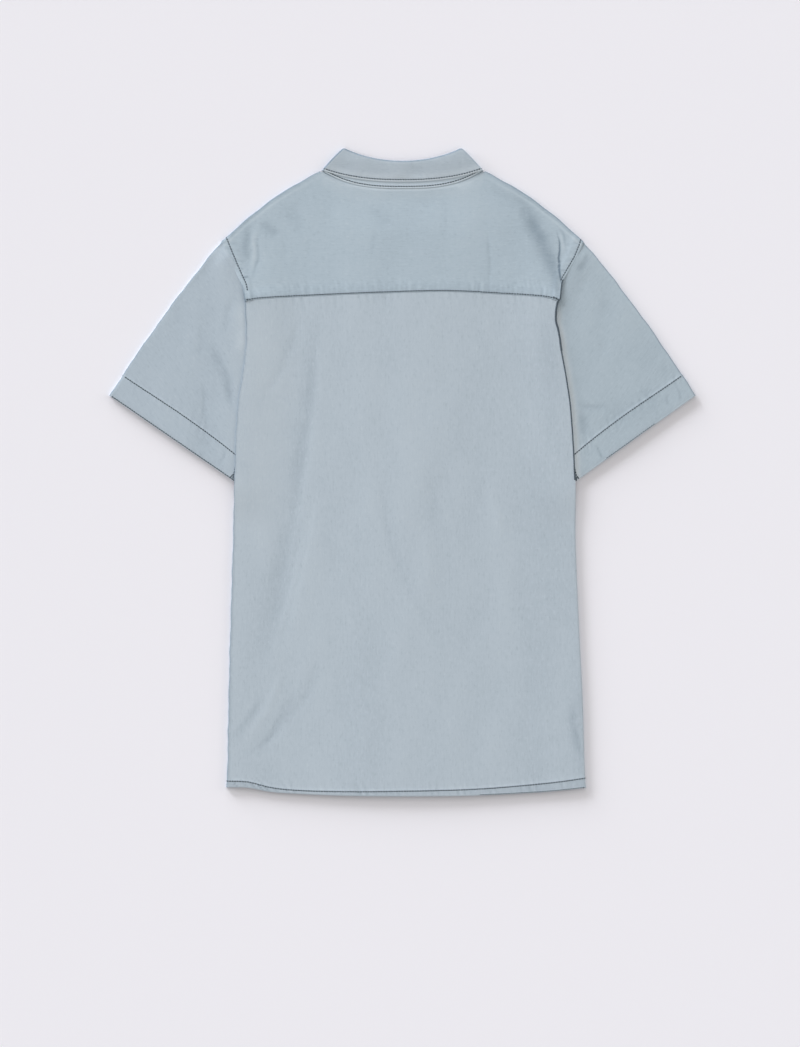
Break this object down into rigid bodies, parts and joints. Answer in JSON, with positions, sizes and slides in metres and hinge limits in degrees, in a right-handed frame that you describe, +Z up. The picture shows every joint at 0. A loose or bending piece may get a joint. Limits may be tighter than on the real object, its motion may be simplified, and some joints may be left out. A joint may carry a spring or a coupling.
{
  "type": "denim shirt",
  "caption": "Short-sleeved denim shirt laid flat and face down, with a back yoke, a folded collar, turned sleeve hems and a buttoned front underneath.",
  "frame": {"origin": "middle of the bottom of the shirt's box, on the surface that it lies on", "axes": "+Z up out of the surface, +Y towards the collar, the wearer's left at -X"},
  "size_m": [0.7234, 0.8006, 0.0081],
  "materials": {
    "denim": "light washed denim, fine twill with pale slubs",
    "button": "moulded resin, satin",
    "thread": "dark slate topstitching thread"
  },
  "bodies": {
    "root": {"back": "denim", "yoke": "denim", "front_left": "denim", "front_right": "denim", "placket": "denim", "sleeve_left": "denim", "sleeve_right": "denim", "collar_leaf": "denim", "collar_stand": "denim", "button_1": "button", "button_2": "button", "button_3": "button", "button_4": "button", "button_5": "button", "button_6": "button", "button_7": "button"}
  },
  "joints": []
}
